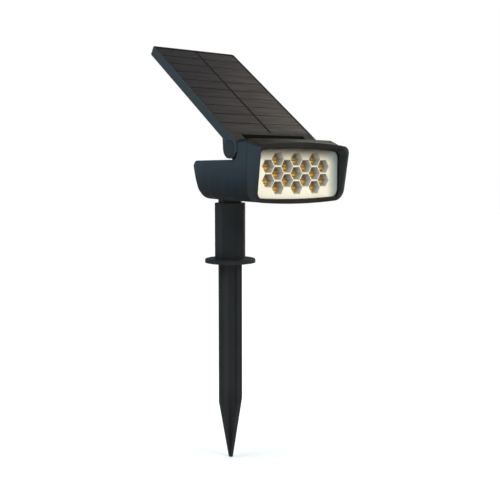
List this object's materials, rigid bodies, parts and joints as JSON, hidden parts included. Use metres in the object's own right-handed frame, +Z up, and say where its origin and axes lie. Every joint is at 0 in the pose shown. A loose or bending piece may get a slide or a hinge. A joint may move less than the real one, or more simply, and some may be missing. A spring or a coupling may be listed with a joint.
{
  "type": "solar garden light",
  "caption": "Solar spot light on a ground spike: swivelling lamp head with a honeycomb reflector, and a hinged solar panel that tilts to face the sun.",
  "frame": {"origin": "on the stake's axis at the underside of the round flange, at ground level", "axes": "+Z up along the stake, the lamp shines towards -Y, +X to the lamp's left side"},
  "size_m": [0.0956, 0.1614, 0.3733],
  "materials": {
    "black_plastic": "satin moulded ABS",
    "cream_plastic": "warm metallised reflector",
    "clear_lens": "clear polycarbonate",
    "amber_phosphor": "silicone over phosphor",
    "led_white": "moulded light package",
    "circuit_board": "solder mask",
    "chip_black": "moulded epoxy",
    "steel": "zinc plated",
    "brass": "plain",
    "seal_rubber": "soft black rubber",
    "button_rubber": "soft grey-black rubber",
    "cell_wrap": "shrink sleeve",
    "panel_backing": "dark board under clear resin",
    "solar_cell": "silicon strips under clear resin"
  },
  "bodies": {
    "stake": {"ground_spike": "black_plastic", "stake_sleeve": "black_plastic"},
    "neck": {"neck_post": "black_plastic", "neck_seal": "seal_rubber", "swivel_washer": "steel", "swivel_screw": "steel"},
    "head": {"head_housing": "black_plastic", "front_bezel": "black_plastic", "front_lens": "clear_lens", "lens_gasket": "seal_rubber", "reflector": "cream_plastic", "led_board": "circuit_board", "led_packages": "led_white", "led_phosphors": "amber_phosphor", "board_screws": "steel", "bezel_screws": "steel", "battery_cell": "cell_wrap", "battery_cradle": "black_plastic", "battery_contacts": "brass", "control_board": "circuit_board", "charge_chips": "chip_black", "button_switch": "chip_black", "hinge_bolts": "steel", "hinge_nuts": "brass", "hinge_washers": "seal_rubber"},
    "button": {"mode_button": "button_rubber"},
    "panel": {"panel_tray": "black_plastic", "hinge_caps": "black_plastic", "cell_backing": "panel_backing", "solar_cells": "solar_cell"}
  },
  "joints": [
    {"name": "neck_lift", "type": "slide", "parent": "stake", "child": "neck", "axis": [0, 0, 1], "range_m": [0, 0.036]},
    {"name": "head_swivel", "type": "hinge", "parent": "neck", "child": "head", "pos_m": [0, 0, 0.058], "axis": [0, 0, 1], "range_deg": [-90, 90]},
    {"name": "panel_tilt", "type": "hinge", "parent": "head", "child": "panel", "pos_m": [0, -0.0593, 0.0994], "axis": [1, 0, 0], "range_deg": [-35, 40]},
    {"name": "button_press", "type": "slide", "parent": "head", "child": "button", "axis": [0, -0.8829, 0.4695], "range_m": [0, 0.0012], "stiffness_N_per_m": 800}
  ]
}
